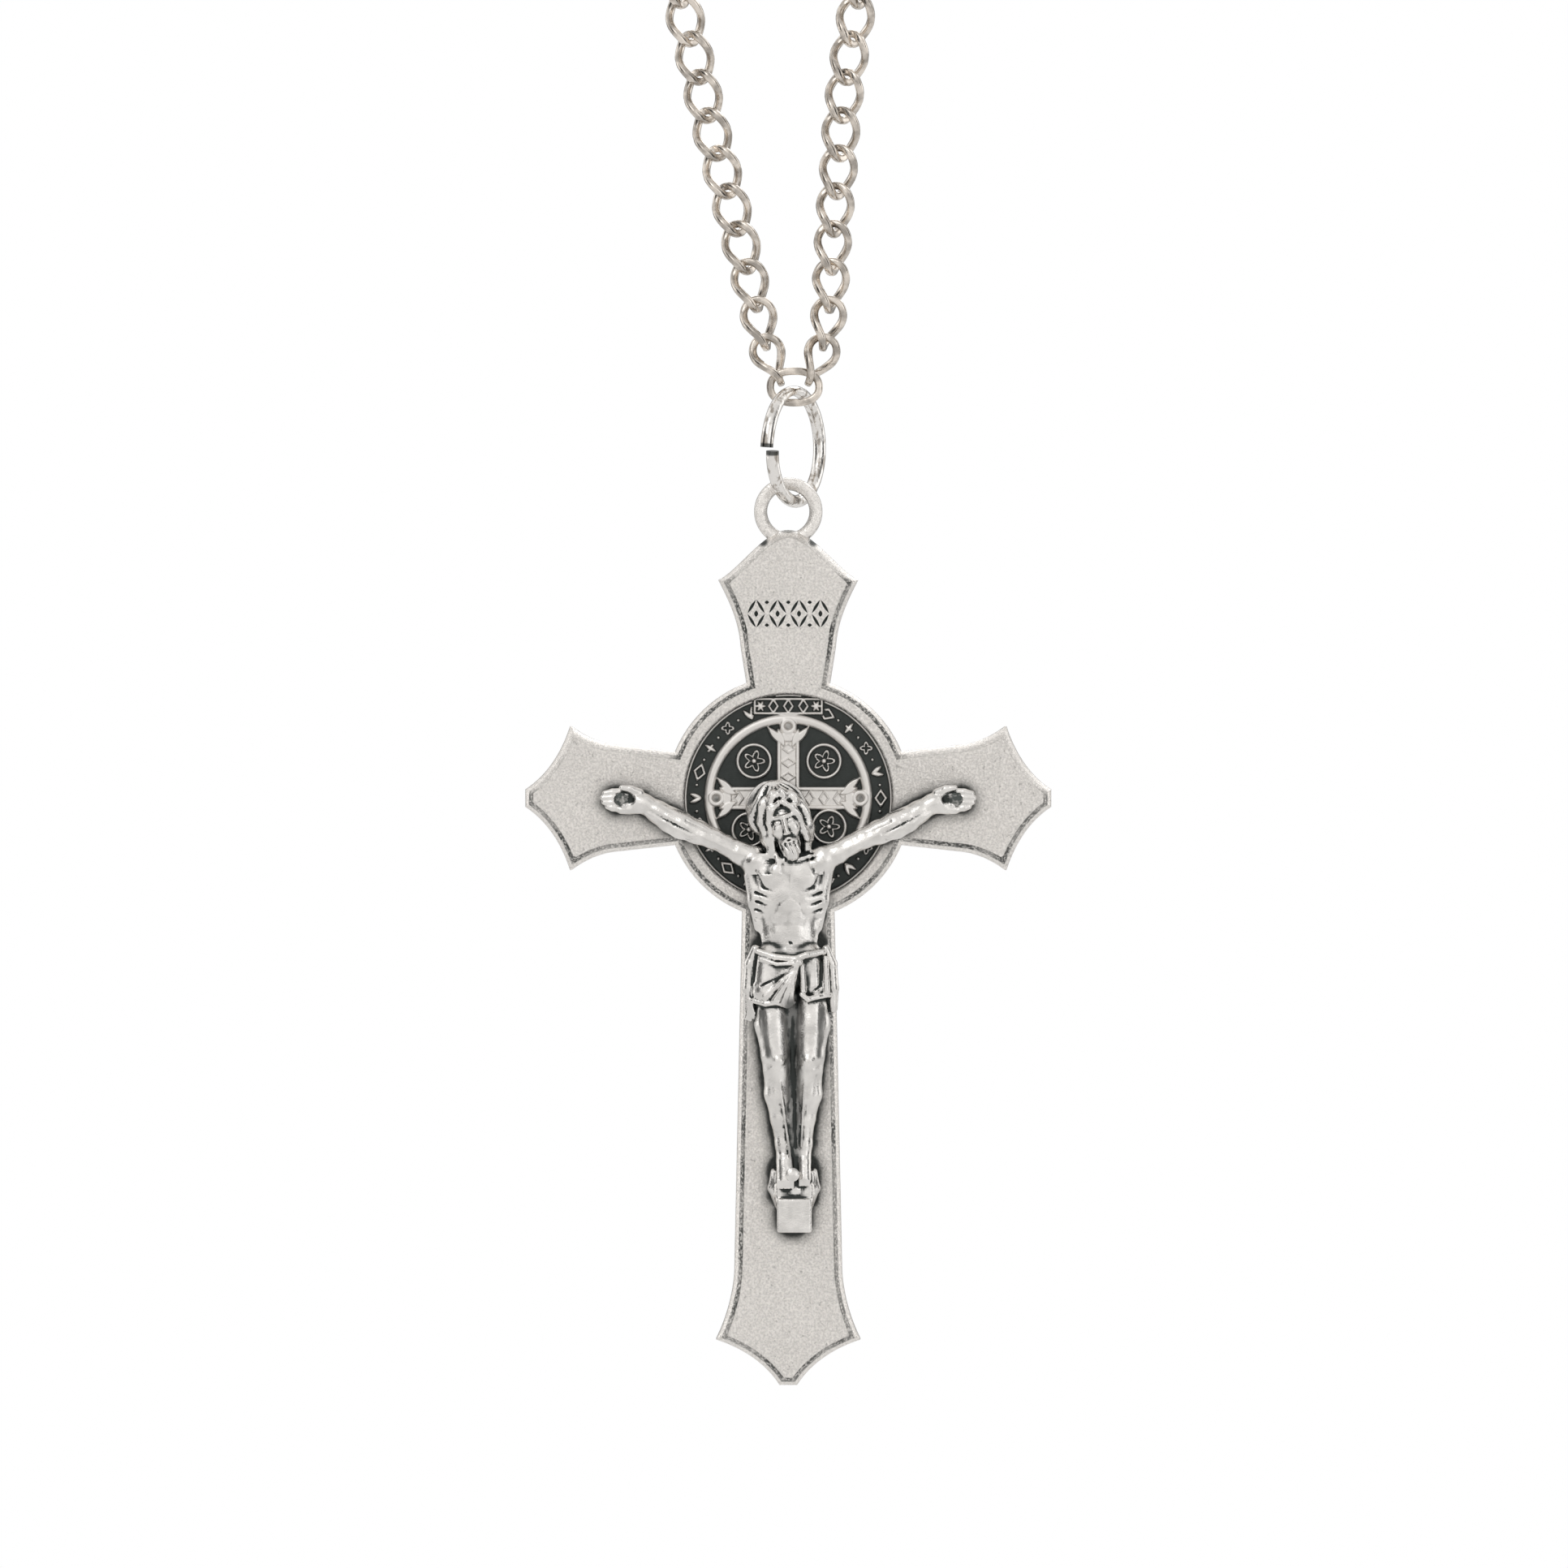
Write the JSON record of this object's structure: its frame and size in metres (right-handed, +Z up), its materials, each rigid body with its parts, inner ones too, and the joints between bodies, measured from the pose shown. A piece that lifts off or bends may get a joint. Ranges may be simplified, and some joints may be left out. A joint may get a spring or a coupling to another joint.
{
  "type": "crucifix pendant on chain",
  "caption": "Flared, pointed cross with a round medal behind the figure, hanging from a jump ring on twisted curb links held by a closed claw clasp.",
  "frame": {"origin": "top of the clasp, straight above the middle of the cross", "axes": "+X to the viewer's right, the front faces -Y, +Z up"},
  "size_m": [0.0368, 0.0082, 0.1092],
  "materials": {
    "chain_metal": "bright nickel-grey plating",
    "polished_metal": "polished silver plating",
    "dark_medal": "oxidised silver, dark in the recesses",
    "cast_silver": "oxidised silver plating with a fine sand-cast grain"
  },
  "bodies": {
    "clasp": {"clasp_body": "polished_metal", "clasp_pivot_pin": "polished_metal"},
    "clasp_lever": {"clasp_lever": "polished_metal"},
    "end_rings": {"left_end_ring": "polished_metal", "right_end_ring": "polished_metal"},
    "links_01": {"left_link_01": "chain_metal", "right_link_01": "chain_metal"},
    "links_02": {"left_link_02": "chain_metal", "right_link_02": "chain_metal"},
    "links_03": {"left_link_03": "chain_metal", "right_link_03": "chain_metal"},
    "links_04": {"left_link_04": "chain_metal", "right_link_04": "chain_metal"},
    "links_05": {"left_link_05": "chain_metal", "right_link_05": "chain_metal"},
    "links_06": {"left_link_06": "chain_metal", "right_link_06": "chain_metal"},
    "links_07": {"left_link_07": "chain_metal", "right_link_07": "chain_metal"},
    "links_08": {"left_link_08": "chain_metal", "right_link_08": "chain_metal"},
    "links_09": {"left_link_09": "chain_metal", "right_link_09": "chain_metal"},
    "links_10": {"left_link_10": "chain_metal", "right_link_10": "chain_metal"},
    "links_11": {"left_link_11": "chain_metal", "right_link_11": "chain_metal"},
    "links_12": {"left_link_12": "chain_metal", "right_link_12": "chain_metal"},
    "bottom_link": {"bottom_link": "chain_metal"},
    "jump_ring": {"jump_ring": "polished_metal"},
    "pendant": {"cross_body": "cast_silver", "front_medal": "dark_medal", "back_medal": "dark_medal", "corpus": "cast_silver", "left_hand_nail": "cast_silver", "right_hand_nail": "cast_silver", "feet_nail": "cast_silver"}
  },
  "joints": [
    {"name": "clasp_lever_opening", "type": "hinge", "parent": "clasp", "child": "clasp_lever", "pos_m": [-0.0006, 0, -0.00095], "axis": [0, -1, 0], "range_deg": [0, 14], "stiffness_Nm_per_rad": 0.00005, "springref_deg": -2.86},
    {"name": "end_rings_swing", "type": "hinge", "parent": "clasp", "child": "end_rings", "pos_m": [-0.0085, 0, -0.0034], "axis": [1, 0, 0], "range_deg": [-20, 20]},
    {"name": "links_01_swing", "type": "hinge", "parent": "end_rings", "child": "links_01", "pos_m": [-0.0085, 0, -0.00638], "axis": [-1, 0, 0], "range_deg": [-20, 20]},
    {"name": "links_02_swing", "type": "hinge", "parent": "links_01", "child": "links_02", "pos_m": [-0.00802, 0, -0.00909], "axis": [1, 0, 0], "range_deg": [-20, 20]},
    {"name": "links_03_swing", "type": "hinge", "parent": "links_02", "child": "links_03", "pos_m": [-0.0075, 0, -0.01179], "axis": [-1, 0, 0], "range_deg": [-20, 20]},
    {"name": "links_04_swing", "type": "hinge", "parent": "links_03", "child": "links_04", "pos_m": [-0.00688, 0, -0.01447], "axis": [1, 0, 0], "range_deg": [-20, 20]},
    {"name": "links_05_swing", "type": "hinge", "parent": "links_04", "child": "links_05", "pos_m": [-0.00626, 0, -0.01715], "axis": [-1, 0, 0], "range_deg": [-20, 20]},
    {"name": "links_06_swing", "type": "hinge", "parent": "links_05", "child": "links_06", "pos_m": [-0.00569, 0, -0.01984], "axis": [1, 0, 0], "range_deg": [-20, 20]},
    {"name": "links_07_swing", "type": "hinge", "parent": "links_06", "child": "links_07", "pos_m": [-0.00497, 0, -0.02249], "axis": [-1, 0, 0], "range_deg": [-20, 20]},
    {"name": "links_08_swing", "type": "hinge", "parent": "links_07", "child": "links_08", "pos_m": [-0.00426, 0, -0.02515], "axis": [1, 0, 0], "range_deg": [-20, 20]},
    {"name": "links_09_swing", "type": "hinge", "parent": "links_08", "child": "links_09", "pos_m": [-0.00355, 0, -0.02781], "axis": [-1, 0, 0], "range_deg": [-20, 20]},
    {"name": "links_10_swing", "type": "hinge", "parent": "links_09", "child": "links_10", "pos_m": [-0.00284, 0, -0.03046], "axis": [1, 0, 0], "range_deg": [-20, 20]},
    {"name": "links_11_swing", "type": "hinge", "parent": "links_10", "child": "links_11", "pos_m": [-0.00217, 0, -0.03313], "axis": [-1, 0, 0], "range_deg": [-20, 20]},
    {"name": "links_12_swing", "type": "hinge", "parent": "links_11", "child": "links_12", "pos_m": [-0.00151, 0, -0.0358], "axis": [1, 0, 0], "range_deg": [-20, 20]},
    {"name": "bottom_link_swing", "type": "hinge", "parent": "links_12", "child": "bottom_link", "pos_m": [0.00045, 0, -0.03831], "axis": [-1, 0, 0], "range_deg": [-15, 15]},
    {"name": "jump_ring_swing", "type": "hinge", "parent": "bottom_link", "child": "jump_ring", "pos_m": [0.00045, 0, -0.03964], "axis": [1, 0, 0], "range_deg": [-15, 15]},
    {"name": "pendant_swing", "type": "hinge", "parent": "jump_ring", "child": "pendant", "pos_m": [0, 0, -0.04692], "axis": [-1, 0, 0], "range_deg": [-30, 15]}
  ]
}
